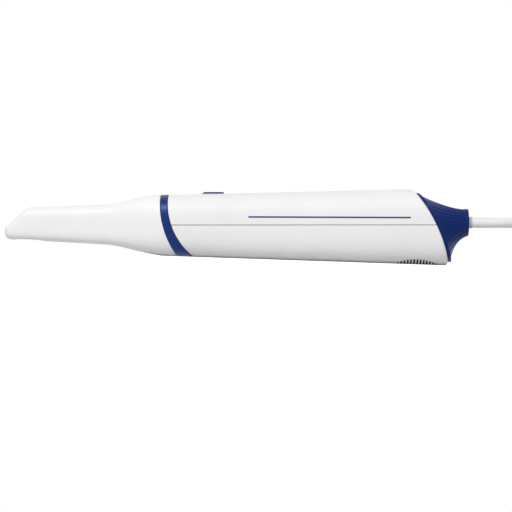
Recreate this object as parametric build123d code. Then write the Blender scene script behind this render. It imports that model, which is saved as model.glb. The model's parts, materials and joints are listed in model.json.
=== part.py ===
from build123d import *
from math import atan, cos, degrees, hypot, pi, radians, sin, tan
import os

# Handheld intraoral scanner: pull-off tip, blue collar, split handle, fluted tail and cable.
# Everything but the cable is laid out along the nose axis, x from the nose to the tail, z up,
# and is then tilted so that the flat of the belly lies on z = 0.

# Straight taper of the handle, measured from the nose axis at two places
taper_front_x = 80.0
taper_rear_x = 232.0
front_top = 15.65
front_bottom = 16.0
front_half_width = 15.4
rear_top = 19.3
rear_bottom = 21.15
rear_half_width = 19.0
handle_squareness = 3.0
belly_flat_depth = 0.25

# Slim part of the tip, measured at two places, and the flare that joins it to the handle
slim_front_x = 14.0
slim_rear_x = 54.0
slim_front_top = 9.4
slim_front_bottom = 7.9
slim_front_half_width = 8.8
slim_rear_top = 10.75
slim_rear_bottom = 10.1
slim_rear_half_width = 10.4
tip_squareness = 4.0
flare_start_x = 51.0
flare_top_end_x = 79.0
flare_side_end_x = 82.0
flare_bottom_end_x = 86.0

# Nose of the tip, its scanning window and its mirror
tip_wall = 1.8
nose_slope = 41.5
nose_slope_foot = -1.3
nose_round = 2.8
window_front_x = 4.4
window_length = 15.8
window_half_width = 5.7
window_corner = 2.2
scallop_front_x = 9.6
scallop_length = 8.1
scallop_ramp = 3.2
scallop_depth = 0.5
mirror_thickness = 1.1
mirror_half_width = 5.4
mirror_length = 8.6
mirror_foot_z = -0.7

# Upright arcs that part the tip, the collar, the shells and the tail: x at the top, middle and bottom
arc_reach = 20.0
collar_front_top_x = 81.4
collar_front_middle_x = 82.0
collar_front_bottom_x = 92.5
collar_rear_top_x = 85.6
collar_rear_middle_x = 86.4
collar_rear_bottom_x = 103.2
tail_top_x = 209.5
tail_middle_x = 222.6
tail_bottom_x = 229.2
part_gap = 0.12
collar_proud = 0.22
collar_edge_round = 0.45

# Shells
shell_wall = 2.0
seam_gap = 0.25
tongue_height = 1.4
tongue_clearance = 0.06
tail_edge_round = 1.5
seat_clearance = 0.1
boss_radius = 2.3

# Cooling slots under the tail
vent_count = 13
vent_pitch = 1.64
vent_width = 0.9
vent_middle_x = 213.1
vent_end_half_length = 7.6
vent_middle_half_length = 13.4
screen_thickness = 0.5
screen_margin = 0.8

# Nose barrel that the tip slides over
slide_clearance = 0.3
barrel_front_x = 57.0
barrel_rear_x = 99.0
barrel_wall = 1.6
barrel_flange_depth = 4.4
barrel_flange_length = 4.0
pane_thickness = 0.9
pane_ledge = 1.2
seal_front_x = 75.5
seal_width = 2.0
seal_depth = 0.65
seal_clearance = 0.15
glue_gap = 0.05

# Chassis and optics
bulkhead_thickness = 2.5
bulkhead_clearance = 0.4
camera_z = -4.4
projector_z = 3.3
lens_tube_radius = 3.3
lens_tube_bore = 2.5
lens_tube_front_x = 69.0
lens_tube_rear_x = 112.0
lens_collar_radius = 3.75
lens_collar_length = 2.0
lens_radius = 2.85
lens_thickness = 2.0
lens_bulge = 0.5
slide_thickness = 1.0
tray_thickness = 2.0
tray_gap = 0.5
tray_half_width = 10.0
tray_length = 92.0
tray_front_boss_x = 117.0
tray_rear_boss_x = 178.0
tray_boss_y = 7.4
sensor_size = 6.0
sensor_thickness = 2.0
board_thickness = 1.2
camera_board_half_width = 8.0
light_block_length = 8.0
light_block_size = 7.2
light_board_half_width = 7.0

# Main board with its cooler
main_board_front_x = 128.0
main_board_length = 62.0
main_board_half_width = 11.0
main_board_thickness = 1.6
main_board_post = 6.0
main_board_post_radius = 2.0
main_board_screw_y = 8.6
main_board_screw_inset = 3.0
processor_front_x = 147.0
processor_size = 12.0
processor_height = 1.4
pad_height = 0.6
memory_length = 8.0
memory_half_width = 2.6
memory_height = 1.1
memory_gap = 5.0
memory_y = 4.4
cooler_front_x = 142.0
cooler_length = 34.0
cooler_half_width = 10.0
cooler_base = 2.0
cooler_height = 9.0
cooler_fins = 8
cooler_fin = 1.0
header_length = 9.0
header_half_width = 4.6
header_height = 5.2

# Fan above the slots
fan_size = 20.0
fan_height = 6.0
fan_corner = 2.0
fan_bore = 9.1
fan_base = 1.0
fan_disc_radius = 4.0
fan_arm_width = 1.3
fan_arms = 3
bearing_radius = 1.5
bearing_height = 3.6
fan_screw_reach = 8.2
fan_post_radius = 2.0
fan_floor_gap = 2.6
rotor_clearance = 0.3
hub_radius = 4.2
hub_wall = 0.9
hub_height = 4.2
axle_radius = 0.6
axle_clearance = 0.06
blade_count = 7
blade_thickness = 0.6
blade_pitch = 38.0
blade_chord = 4.6
blade_edge_gap = 0.2

# Button on top, with its switch
button_x = 107.9
button_length = 11.0
button_width = 7.4
button_proud = 0.95
button_edge_round = 0.5
button_clearance = 0.2
button_flange = 0.7
button_flange_height = 0.9
button_stop_gap = 0.3
button_travel = 0.5
gasket_width = 0.8
gasket_height = 0.7
gasket_proud = 0.15
plunger_radius = 1.5
plunger_height = 2.0
plunger_clearance = 0.15
button_foot = 0.6
switch_size = 6.0
switch_height = 2.2
switch_floor = 0.3
button_board_length = 12.0
button_board_half_width = 9.2
button_board_thickness = 1.0
button_boss_y = 7.2
button_boss_radius = 1.8

# Screws
screw_radius = 0.8
screw_clearance = 0.05
screw_length = 3.4
screw_head_radius = 1.45
screw_head_height = 1.1
screw_head_round = 0.44

# Fluted tail
tail_inset = 2.0
lip_width = 2.0
lip_round = 0.75
lip_step = 0.9
flare_lean = 25.5
flare_curl = 1.8
flare_lean_curl = 1.4
flare_front_x = 222.6
flare_front_z = -0.9
flare_squareness = 2.5
flute_count = 32
flute_depth = 0.3
flare_sections = 7
spigot_length = 4.5
spigot_wall = 2.0
tail_wall = 2.3
neck_end_x = 240.2
neck_z = 1.45
neck_radius = 7.0
neck_rim_length = 1.7
neck_rim_proud = 0.12
neck_rim_round = 0.6
grommet_radius = 3.8
grommet_length = 7.4
grommet_recess = 0.9
grommet_lip_radius = 3.0
grommet_lip_length = 2.1
clamp_radius = 5.2
clamp_length = 4.0
tail_floor_x = 230.0

# Cable, wound up behind the tail, and its plug
cable_radius = 2.7
cable_bend_share = 0.45
cable_first_run = 14.4
cable_points = [(148.6, 7.4, 23.5), (164.8, 15.2, 24.8), (179.0, 16.25, 25.6)]
coil_x = 179.0
coil_y = -13.5
coil_outer_turn = 29.75
coil_inner_turn = 24.25
coil_layers = 5
coil_pitch = 5.5
coil_corner = 2.4
tie_thickness = 0.9
tie_width = 8.0
tie_clearance = 0.05
tail_run = 4.0
tail_rise = 4.5
relief_length = 5.0
relief_radius = 3.1
plug_length = 18.0
plug_width = 11.0
plug_height = 6.4
plug_corner = 2.4
plug_edge_round = 0.7
plug_shell_length = 6.6
plug_shell_width = 8.3
plug_shell_height = 2.5
plug_shell_wall = 0.3
plug_tongue_thickness = 0.7
plug_tongue_length = 5.3

# Fineness of the lofted outlines, ends of the handle's long form, and reach of cutters past a face
outline_points = 32
points_per_flute = 4
station_step = 6.0
tip_station_count = 19
form_front_x = 66.0
form_rear_x = 246.0
over_cut = 1.0
far = 400.0


# Outline of the body

def along(x, x_a, value_a, x_b, value_b):
    return value_a + (value_b - value_a) * (x - x_a) / (x_b - x_a)


def handle_size(x):
    """Top, bottom and half width of the handle's straight taper, and its squareness."""
    top = along(x, taper_front_x, front_top, taper_rear_x, rear_top)
    bottom = along(x, taper_front_x, front_bottom, taper_rear_x, rear_bottom)
    half_width = along(x, taper_front_x, front_half_width, taper_rear_x, rear_half_width)
    return top, bottom, half_width, handle_squareness


def slim_size(x):
    """The same four figures for the slim part of the tip."""
    top = along(x, slim_front_x, slim_front_top, slim_rear_x, slim_rear_top)
    bottom = along(x, slim_front_x, slim_front_bottom, slim_rear_x, slim_rear_bottom)
    half_width = along(x, slim_front_x, slim_front_half_width, slim_rear_x, slim_rear_half_width)
    return top, bottom, half_width, tip_squareness


def eased(x, end_x):
    """0 before the flare, 1 behind its end, with a soft start and a soft end."""
    share = min(1.0, max(0.0, (x - flare_start_x) / (end_x - flare_start_x)))
    return share * share * (3.0 - 2.0 * share)


def body_size(x):
    """The slim tip, flaring into the handle's taper."""
    ends = (flare_top_end_x, flare_bottom_end_x, flare_side_end_x, flare_side_end_x)
    pairs = zip(slim_size(x), handle_size(x), ends)
    return tuple(slim + (full - slim) * eased(x, end) for slim, full, end in pairs)


def round_shape(turn, squareness):
    """Reach of a superellipse of half size 1 at an angle from its middle."""
    return (abs(cos(turn)) ** squareness + abs(sin(turn)) ** squareness) ** (-1.0 / squareness)


def closed_face(points):
    knots = [step / len(points) for step in range(len(points) + 1)]
    return Face(Wire([Edge.make_spline(points, periodic=True, parameters=knots)]))


def outline(x, inset, size):
    """Upright section of the body at x, drawn in by an inset."""
    top, bottom, half_width, squareness = size(x)
    points = []
    for step in range(outline_points):
        turn = 2.0 * pi * step / outline_points
        reach = round_shape(turn, squareness)
        height = (top if sin(turn) > 0.0 else bottom) - inset
        points.append((x, (half_width - inset) * reach * cos(turn), height * reach * sin(turn)))
    return closed_face(points)


def handle_form(inset):
    """Straight taper of the handle, drawn in by an inset."""
    return loft([outline(x, inset, handle_size) for x in (form_front_x, form_rear_x)], ruled=True)


def tip_form(inset, stations):
    """Slim tip and flare, drawn in by an inset."""
    return loft([outline(x, inset, body_size) for x in stations])


# Plain solids in the nose axis frame

def block(x_a, x_b, half_width, z_a, z_b):
    return Pos((x_a + x_b) / 2, 0, (z_a + z_b) / 2) * Box(x_b - x_a, 2 * half_width, z_b - z_a)


def slab(x_a, x_b):
    return block(x_a, x_b, far / 2, -far / 2, far / 2)


def rod(x_a, x_b, z, radius):
    return Pos((x_a + x_b) / 2, 0, z) * Rot(0, 90, 0) * Cylinder(radius, x_b - x_a)


def post(x, y, z_a, z_b, radius):
    return Pos(x, y, (z_a + z_b) / 2) * Cylinder(radius, z_b - z_a)


def wall_prism(points):
    """Prism right across the body over an outline given in x and z."""
    return extrude(Plane.XZ * make_face(Polyline(*points, close=True)), far / 2, both=True)


def behind_arc(top_x, middle_x, bottom_x, shift=0.0):
    """Everything towards the tail from an upright arc."""
    top = (top_x + shift, arc_reach)
    bottom = (bottom_x + shift, -arc_reach)
    arc = ThreePointArc(top, (middle_x + shift, 0.0), bottom)
    roof_slope = arc % 0
    floor_slope = arc % 1
    high = (top[0] - roof_slope.X * arc_reach, top[1] - roof_slope.Y * arc_reach)
    low = (bottom[0] + floor_slope.X * arc_reach, bottom[1] + floor_slope.Y * arc_reach)
    rest = Polyline(bottom, low, (far, low[1]), (far, high[1]), high, top)
    return extrude(Plane.XZ * make_face(arc + rest), far / 2, both=True)


def behind_collar_front(shift=0.0):
    return behind_arc(collar_front_top_x, collar_front_middle_x, collar_front_bottom_x, shift)


def behind_collar_rear(shift=0.0):
    return behind_arc(collar_rear_top_x, collar_rear_middle_x, collar_rear_bottom_x, shift)


def behind_tail(shift=0.0):
    return behind_arc(tail_top_x, tail_middle_x, tail_bottom_x, shift)


def screw(length=screw_length):
    """Small pan-head screw that points down, with the underside of its head at the origin."""
    head = Pos(0, 0, screw_head_height / 2) * Cylinder(screw_head_radius, screw_head_height)
    head = fillet(head.edges().group_by(Axis.Z)[-1], screw_head_round)
    return head + Pos(0, 0, -length / 2) * Cylinder(screw_radius, length)


def pilot(x, y, z, length=screw_length):
    """Hole for the shank of such a screw."""
    return post(x, y, z - length - screw_clearance, z + screw_clearance, screw_radius + screw_clearance)


# Scanning tip

tip_stations = [number * station_step for number in range(tip_station_count)]


def nose_slope_z(x, depth=0.0):
    """Height of the nose's sloping front at x, or of a face that deep behind it."""
    return nose_slope_foot + x * tan(radians(nose_slope)) - depth / cos(radians(nose_slope))


def under_slope(depth=0.0):
    ends = (-far / 8, far / 2)
    slope = [(x, nose_slope_z(x, depth)) for x in ends]
    return wall_prism(slope + [(ends[1], -far / 4), (ends[0], -far / 4)])


def bottom_line(x, depth=0.0):
    return (x, depth - slim_size(x)[1])


def tip_outside():
    form = tip_form(0.0, tip_stations) & under_slope()
    front = [edge for edge in form.edges() if edge.bounding_box().max.X < slim_front_x]
    return fillet([edge for edge in front if edge.length > nose_round], nose_round)


def tip_sleeve():
    cavity = tip_form(tip_wall, tip_stations) & under_slope(tip_wall) & slab(tip_wall, far / 2)
    window = Pos(window_front_x + window_length / 2, 0, -slim_front_bottom)
    hole = RectangleRounded(window_length, 2 * window_half_width, window_corner)
    hole = extrude(window * hole, 2 * tip_wall, both=True)
    scallop_end = scallop_front_x + scallop_length
    ramp_end = scallop_end + scallop_ramp
    scallop = wall_prism([
        bottom_line(scallop_front_x, scallop_depth),
        bottom_line(scallop_end, scallop_depth),
        bottom_line(ramp_end),
        bottom_line(ramp_end, -scallop_depth),
        bottom_line(scallop_front_x, -scallop_depth),
    ])
    sleeve = tip_outside() - cavity - behind_collar_front(-part_gap)
    return (sleeve & above_belly()) - scallop - hole


def tip_mirror():
    """Mirror glass on the inside of the sloping front."""
    lean = Plane(
        origin=(0, 0, nose_slope_z(0, tip_wall)),
        x_dir=(cos(radians(nose_slope)), 0, sin(radians(nose_slope))),
        z_dir=(-sin(radians(nose_slope)), 0, cos(radians(nose_slope))),
    )
    foot = (mirror_foot_z - nose_slope_z(0, tip_wall)) / sin(radians(nose_slope))
    plate = Box(mirror_length, 2 * mirror_half_width, mirror_thickness)
    return lean * Pos(foot + mirror_length / 2, 0, -glue_gap - mirror_thickness / 2) * plate


# Collar and shells

def collar_ring():
    ring = handle_form(-collar_proud) - handle_form(shell_wall)
    ring = (ring & behind_collar_front(0.0)) - behind_collar_rear()
    rims = ring.edges().sort_by(SortBy.LENGTH)[-2:]
    return fillet(rims, collar_edge_round) & above_belly()


def above_belly():
    """Everything above the flat of the belly."""
    flat = [(x, belly_flat_depth - handle_size(x)[1]) for x in (0.0, far)]
    return wall_prism(flat + [(far, far / 4), (0.0, far / 4)])


def shell_tube():
    """Both shells in one, before the seam parts them."""
    body = (handle_form(0.0) & behind_collar_rear(part_gap)) - behind_tail()
    rims = body.edges().filter_by(lambda edge: edge.length > 2 * rear_half_width)
    rims = rims.sort_by(lambda edge: edge.center(CenterOf.BOUNDING_BOX).X)
    body = fillet(rims[-1:], tail_edge_round)
    return (body & above_belly()) - handle_form(shell_wall)


def seam_tongue_zone(clearance, top):
    zone = handle_form(shell_wall / 2 + clearance)
    return zone & block(0, far, far / 2, -seam_gap / 2 - shell_wall, top)


def upper_shell(tube):
    shell = tube & block(0, far, far / 2, seam_gap / 2, far / 2)
    hole = SlotOverall(button_length + 2 * button_clearance, button_width + 2 * button_clearance)
    rebate_grow = button_clearance + gasket_width + glue_gap
    rebate = SlotOverall(button_length + 2 * rebate_grow, button_width + 2 * rebate_grow)
    inside = handle_form(shell_wall / 2)
    bosses = []
    holes = [
        seam_tongue_zone(-tongue_clearance, tongue_height + seam_gap),
        Pos(button_x, 0, 0) * extrude(hole, far / 2),
        Pos(button_x, 0, gasket_floor()) * extrude(rebate, far / 2),
    ]
    for side in (-1, 1):
        y = side * button_boss_y
        hole_top = button_board_z() + screw_length - button_board_thickness + screw_clearance
        bosses.append(post(button_x, y, button_board_z(), far / 4, button_boss_radius) & inside)
        holes.append(post(button_x, y, 0, hole_top, screw_radius + screw_clearance))
    return shell + bosses - holes


def vent_slots():
    slots = []
    middle = (vent_count - 1) / 2
    for number in range(vent_count):
        off_middle = (number - middle) / (middle + 0.5)
        swell = (1.0 - off_middle * off_middle) ** 0.5
        half_length = along(swell, 0.0, vent_end_half_length, 1.0, vent_middle_half_length)
        place = Pos(vent_middle_x + (number - middle) * vent_pitch, 0, -far / 4)
        slots.append(place * extrude(SlotOverall(2 * half_length, vent_width, rotation=90), far / 4))
    return slots


def lower_shell(tube):
    shell = tube & block(0, far, far / 2, -far / 2, -seam_gap / 2)
    tongue = tube & seam_tongue_zone(tongue_clearance, tongue_height)
    inside = handle_form(shell_wall / 2)
    seats = [tongue]
    holes = []
    for x in (tray_front_boss_x, tray_rear_boss_x):
        for side in (-1, 1):
            boss = post(x, side * tray_boss_y, -far / 4, tray_top() - tray_thickness, boss_radius)
            seats.append(boss & inside)
            holes.append(pilot(x, side * tray_boss_y, tray_top()))
    for x, y in fan_post_places():
        seats.append(post(x, y, -far / 4, fan_z(), fan_post_radius) & inside)
    for side in (-1, 1):
        screw_x = vent_middle_x + side * fan_screw_reach
        holes.append(pilot(screw_x, side * fan_screw_reach, fan_z() + fan_base))
    return shell - vent_slots() + seats - holes


# Nose barrel

barrel_stations = [x for x in tip_stations if x > barrel_front_x - 2 * station_step]
barrel_inset = max(tip_wall + slide_clearance, shell_wall + seat_clearance)


def barrel_form(inset):
    return tip_form(inset, barrel_stations)


def nose_barrel():
    wall_rear = barrel_front_x + barrel_wall
    flange_front = barrel_rear_x - barrel_flange_length
    barrel = barrel_form(barrel_inset) & slab(barrel_front_x, barrel_rear_x)
    barrel -= barrel_form(barrel_inset + barrel_wall) & slab(wall_rear, flange_front)
    barrel -= barrel_form(barrel_inset + barrel_flange_depth) & slab(flange_front, far)
    barrel -= barrel_form(barrel_inset + barrel_wall + pane_ledge) & slab(0, wall_rear)
    barrel -= barrel_form(barrel_inset + barrel_wall) & slab(0, barrel_front_x + pane_thickness)
    seat = barrel_form(0.0) - barrel_form(barrel_inset + seal_depth)
    barrel -= seat & slab(seal_front_x - glue_gap, seal_front_x + seal_width + glue_gap)
    for side in (-1, 1):
        barrel -= bulkhead_screw_place(side) * Pos(0, 0, -screw_length / 2) * Cylinder(
            screw_radius + screw_clearance, screw_length + 2 * screw_clearance)
    return barrel


def front_window():
    pane = barrel_form(barrel_inset + barrel_wall + glue_gap)
    return pane & slab(barrel_front_x, barrel_front_x + pane_thickness - glue_gap)


def tip_seal():
    outer = barrel_form(tip_wall + seal_clearance)
    ring = outer - barrel_form(barrel_inset + seal_depth - glue_gap)
    return ring & slab(seal_front_x, seal_front_x + seal_width)


# Chassis and optics

def tray_top():
    return camera_z - lens_collar_radius - tray_gap


def bulkhead_rear_x():
    return barrel_rear_x + bulkhead_thickness


def bulkhead_screw_place(side):
    """Screw seat on the rear of the bulkhead, in the middle of the barrel's flange."""
    y = body_size(barrel_rear_x)[2] - barrel_inset - barrel_flange_depth / 2
    return Pos(bulkhead_rear_x(), side * y, 0) * Rot(0, 90, 0)


def chassis():
    plate = tip_form(shell_wall + bulkhead_clearance, barrel_stations)
    plate &= slab(barrel_rear_x, bulkhead_rear_x())
    frame = plate + block(barrel_rear_x, barrel_rear_x + tray_length, tray_half_width,
                          tray_top() - tray_thickness, tray_top())
    for z in (camera_z, projector_z):
        frame -= rod(barrel_rear_x - over_cut, bulkhead_rear_x() + over_cut, z, lens_tube_radius + glue_gap)
    for x in main_board_screw_xs():
        for side in (-1, 1):
            frame += post(x, side * main_board_screw_y, tray_top(), main_board_z(), main_board_post_radius)
            frame -= pilot(x, side * main_board_screw_y, main_board_z() + main_board_thickness)
    for x in (tray_front_boss_x, tray_rear_boss_x):
        for side in (-1, 1):
            frame -= pilot(x, side * tray_boss_y, tray_top())
    for side in (-1, 1):
        frame -= bulkhead_screw_place(side) * Cylinder(screw_radius + screw_clearance, 4 * bulkhead_thickness)
    return frame


def bulkhead_screws():
    return [bulkhead_screw_place(side) * screw(screw_length) for side in (-1, 1)]


def chassis_screws():
    places = [(x, side) for x in (tray_front_boss_x, tray_rear_boss_x) for side in (-1, 1)]
    return [Pos(x, side * tray_boss_y, tray_top()) * screw() for x, side in places]


def lens_tube(z):
    """Tube with a collar that stops on the bulkhead and a step for its front lens."""
    tube = rod(lens_tube_front_x, lens_tube_rear_x, z, lens_tube_radius)
    tube += rod(bulkhead_rear_x(), bulkhead_rear_x() + lens_collar_length, z, lens_collar_radius)
    tube -= rod(lens_tube_front_x - over_cut, lens_tube_rear_x + over_cut, z, lens_tube_bore)
    seat_end = lens_tube_front_x + lens_thickness + glue_gap
    return tube - rod(lens_tube_front_x - over_cut, seat_end, z, lens_radius + glue_gap)


def lens(z):
    """Lens with a bulged front face."""
    ball = (lens_radius ** 2 + lens_bulge ** 2) / (2 * lens_bulge)
    disc = rod(0, lens_thickness, 0, lens_radius) & Pos(ball, 0, 0) * Sphere(ball)
    return Pos(lens_tube_front_x, 0, z) * disc


def pattern_slide():
    return rod(barrel_rear_x, barrel_rear_x + slide_thickness, projector_z, lens_tube_bore - glue_gap)


def image_sensor():
    return block(lens_tube_rear_x, lens_tube_rear_x + sensor_thickness, sensor_size / 2,
                 camera_z - sensor_size / 2, camera_z + sensor_size / 2)


def camera_board():
    front = lens_tube_rear_x + sensor_thickness
    return block(front, front + board_thickness, camera_board_half_width,
                 tray_top(), camera_z + lens_tube_radius)


def light_block():
    half = light_block_size / 2
    return block(lens_tube_rear_x, lens_tube_rear_x + light_block_length, half,
                 projector_z - half, projector_z + half)


def light_board():
    front = lens_tube_rear_x + light_block_length
    half = light_block_size / 2
    return block(front, front + board_thickness, light_board_half_width,
                 projector_z - half, projector_z + half)


# Main board

def main_board_z():
    return tray_top() + main_board_post


def main_board_top():
    return main_board_z() + main_board_thickness


def main_board_rear_x():
    return main_board_front_x + main_board_length


def main_board_screw_xs():
    return (main_board_front_x + main_board_screw_inset, main_board_rear_x() - main_board_screw_inset)


def main_board():
    board = block(main_board_front_x, main_board_rear_x(), main_board_half_width,
                  main_board_z(), main_board_top())
    for x in main_board_screw_xs():
        for side in (-1, 1):
            board -= pilot(x, side * main_board_screw_y, main_board_top())
    return board


def board_screws():
    places = [(x, side) for x in main_board_screw_xs() for side in (-1, 1)]
    return [Pos(x, side * main_board_screw_y, main_board_top()) * screw() for x, side in places]


def processor():
    return block(processor_front_x, processor_front_x + processor_size, processor_size / 2,
                 main_board_top(), main_board_top() + processor_height)


def thermal_pad():
    bottom = main_board_top() + processor_height
    return block(processor_front_x, processor_front_x + processor_size, processor_size / 2,
                 bottom, bottom + pad_height)


def memory_chips():
    front = processor_front_x + processor_size + memory_gap
    chip = block(front, front + memory_length, memory_half_width, main_board_top(),
                 main_board_top() + memory_height)
    return [Pos(0, side * memory_y, 0) * chip for side in (-1, 1)]


def cooler_z():
    return main_board_top() + processor_height + pad_height


def heat_sink():
    base_top = cooler_z() + cooler_base
    rear = cooler_front_x + cooler_length
    sink = block(cooler_front_x, rear, cooler_half_width, cooler_z(), base_top)
    step = (2 * cooler_half_width - cooler_fin) / (cooler_fins - 1)
    fin = block(cooler_front_x, rear, cooler_fin / 2, base_top, cooler_z() + cooler_height)
    for number in range(cooler_fins):
        sink += Pos(0, cooler_fin / 2 - cooler_half_width + number * step, 0) * fin
    return sink


def cable_header():
    return block(main_board_rear_x() - header_length, main_board_rear_x(), header_half_width,
                 main_board_top(), main_board_top() + header_height)


# Fan

def fan_z():
    """Underside of the fan, above the slots."""
    return shell_wall + fan_floor_gap - handle_size(vent_middle_x)[1]


def fan_place():
    return Pos(vent_middle_x, 0, fan_z())


def fan_post_places():
    """Middles of the four posts that the fan stands on."""
    sides = (-1, 1)
    return [(vent_middle_x + a * fan_screw_reach, b * fan_screw_reach) for a in sides for b in sides]


def vent_screen():
    """Dust screen that lines the shell behind the slots."""
    sheet = handle_form(shell_wall + glue_gap) - handle_form(shell_wall + glue_gap + screen_thickness)
    half_length = vent_count * vent_pitch / 2 + screen_margin
    half_width = vent_middle_half_length + screen_margin
    sheet &= block(vent_middle_x - half_length, vent_middle_x + half_length, half_width, -far / 4, 0)
    posts = [post(x, y, -far / 4, 0, fan_post_radius + glue_gap) for x, y in fan_post_places()]
    return sheet - posts - behind_tail(-spigot_length - seat_clearance)


def fan_frame():
    frame = extrude(RectangleRounded(fan_size, fan_size, fan_corner), fan_height)
    frame -= Pos(0, 0, fan_base) * extrude(Circle(fan_bore), fan_height)
    window = Circle(fan_bore) - Circle(fan_disc_radius)
    for number in range(fan_arms):
        turn = 360 * number / fan_arms
        window -= Rot(0, 0, turn) * Pos(fan_bore / 2, 0) * Rectangle(fan_bore + over_cut, fan_arm_width)
    frame -= extrude(window, fan_base)
    frame += Pos(0, 0, fan_base) * extrude(Circle(bearing_radius), bearing_height)
    frame -= Pos(0, 0, fan_base) * extrude(Circle(axle_radius + axle_clearance), far)
    for side in (-1, 1):
        spot = Pos(side * fan_screw_reach, side * fan_screw_reach, 0)
        frame -= spot * Cylinder(screw_radius + screw_clearance, far)
        frame -= spot * Pos(0, 0, fan_base) * extrude(Circle(screw_head_radius + screw_clearance), far)
    return fan_place() * frame


def fan_screws():
    spots = [Pos(side * fan_screw_reach, side * fan_screw_reach, fan_base) for side in (-1, 1)]
    return [fan_place() * spot * screw() for spot in spots]


def fan_rotor():
    """Hub cup on an axle, with pitched blades."""
    bottom = fan_base + rotor_clearance
    cup = Pos(0, 0, bottom) * extrude(Circle(hub_radius), hub_height)
    cup -= Pos(0, 0, bottom) * extrude(Circle(hub_radius - hub_wall), bearing_height)
    axle_bottom = fan_base + axle_clearance
    cup += Pos(0, 0, axle_bottom) * extrude(Circle(axle_radius), bottom + hub_height - axle_bottom)
    tip_radius = fan_bore - rotor_clearance
    ring = Circle(tip_radius) - Circle(hub_radius - hub_wall / 2)
    sweep_zone = extrude(ring, hub_height - 2 * blade_edge_gap)
    sweep_zone = Pos(0, 0, bottom + blade_edge_gap) * sweep_zone
    blade = Box(tip_radius, blade_chord, blade_thickness)
    blade = Pos(tip_radius / 2 + over_cut, 0, bottom + hub_height / 2) * Rot(blade_pitch, 0, 0) * blade
    blade &= sweep_zone
    for number in range(blade_count):
        cup += Rot(0, 0, 360 * number / blade_count) * blade
    return fan_place() * cup


# Button

def button_top():
    return handle_size(button_x)[0] + button_proud


def button_flange_top():
    """Top of the flange, just under the lowest place of the roof above it."""
    reach = button_length / 2 + button_flange
    top, _, half_width, squareness = handle_size(button_x - reach)
    across = (button_width / 2 + button_flange) / (half_width - shell_wall)
    return (top - shell_wall) * (1.0 - across ** squareness) ** (1.0 / squareness) - button_stop_gap


def plunger_top():
    return button_flange_top() - button_flange_height - button_foot


def button_board_z():
    """Top of the small board, where the switch stands."""
    return plunger_top() - plunger_height - button_travel - plunger_clearance - switch_floor


def gasket_floor():
    return handle_size(button_x - button_length / 2)[0] - gasket_height


def button_cap():
    head = extrude(SlotOverall(button_length, button_width), button_top() - button_flange_top())
    head = fillet(head.edges().group_by(Axis.Z)[-1], button_edge_round)
    flange = SlotOverall(button_length + 2 * button_flange, button_width + 2 * button_flange)
    cap = Pos(0, 0, button_flange_top()) * head
    cap += Pos(0, 0, button_flange_top() - button_flange_height) * extrude(flange, button_flange_height)
    cap += Pos(0, 0, plunger_top()) * extrude(Circle(plunger_radius), button_foot)
    return Pos(button_x, 0, 0) * cap


def button_gasket():
    outer_grow = button_clearance + gasket_width
    ring = SlotOverall(button_length + 2 * outer_grow, button_width + 2 * outer_grow)
    ring -= SlotOverall(button_length + 2 * button_clearance, button_width + 2 * button_clearance)
    top = handle_size(button_x)[0] + gasket_proud
    gasket = extrude(ring, top - gasket_floor())
    rims = gasket.edges().group_by(Axis.Z)[-1]
    gasket = chamfer(rims, gasket_proud)
    return Pos(button_x, 0, gasket_floor()) * gasket


def switch_plunger():
    return post(button_x, 0, plunger_top() - plunger_height, plunger_top(), plunger_radius)


def switch_body():
    bottom = button_board_z()
    half = switch_size / 2
    body = block(button_x - half, button_x + half, half, bottom, bottom + switch_height)
    return body - post(button_x, 0, bottom + switch_floor, far, plunger_radius + plunger_clearance)


def button_board():
    board = block(button_x - button_board_length / 2, button_x + button_board_length / 2,
                  button_board_half_width, button_board_z() - button_board_thickness, button_board_z())
    for side in (-1, 1):
        board -= post(button_x, side * button_boss_y, 0, far / 4, screw_radius + screw_clearance)
    return board


def button_screws():
    bottom = button_board_z() - button_board_thickness
    return [Pos(button_x, side * button_boss_y, bottom) * Rot(180, 0, 0) * screw() for side in (-1, 1)]


# Fluted tail

def flare_section(share, inset, flutes):
    """Leaning section of the tail, from its lip (0) to its neck (1)."""
    top, bottom, half_width, _ = handle_size(flare_front_x)
    drawn_in = tail_inset + lip_step
    lean_start = radians(flare_lean)
    lip_half_height = ((top + bottom) / 2 - drawn_in) / cos(lean_start)
    shrink = (1.0 - share) ** flare_curl
    lean = lean_start * (1.0 - share ** flare_lean_curl)
    middle_x = along(share, 0.0, flare_front_x, 1.0, neck_end_x)
    middle_z = along(share, 0.0, flare_front_z, 1.0, neck_z)
    tall = neck_radius + (lip_half_height - neck_radius) * shrink - inset
    wide = neck_radius + (half_width - drawn_in - neck_radius) * shrink - inset
    squareness = 2.0 + (flare_squareness - 2.0) * shrink
    depth = flute_depth * sin(pi * share) ** 0.5 if flutes else 0.0
    count = flute_count * points_per_flute if flutes else outline_points
    points = []
    for step in range(count):
        turn = 2.0 * pi * step / count
        reach = round_shape(turn, squareness)
        groove = depth * (0.5 - 0.5 * cos(flute_count * turn))
        across = (wide - groove) * reach * cos(turn)
        up = (tall - groove) * reach * sin(turn)
        points.append((middle_x - up * sin(lean), across, middle_z + up * cos(lean)))
    return closed_face(points)


def flare_form(inset, flutes):
    shares = [number / (flare_sections - 1) for number in range(flare_sections)]
    return loft([flare_section(share, inset, flutes) for share in shares])


def tail_lip():
    lip = (handle_form(tail_inset) & behind_tail(part_gap)) - behind_tail(lip_width + part_gap)
    rims = lip.edges().filter_by(lambda edge: edge.length > 2 * rear_half_width)
    rims = rims.sort_by(lambda edge: edge.center(CenterOf.BOUNDING_BOX).X)
    return fillet(rims[-1:], lip_round)


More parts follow.
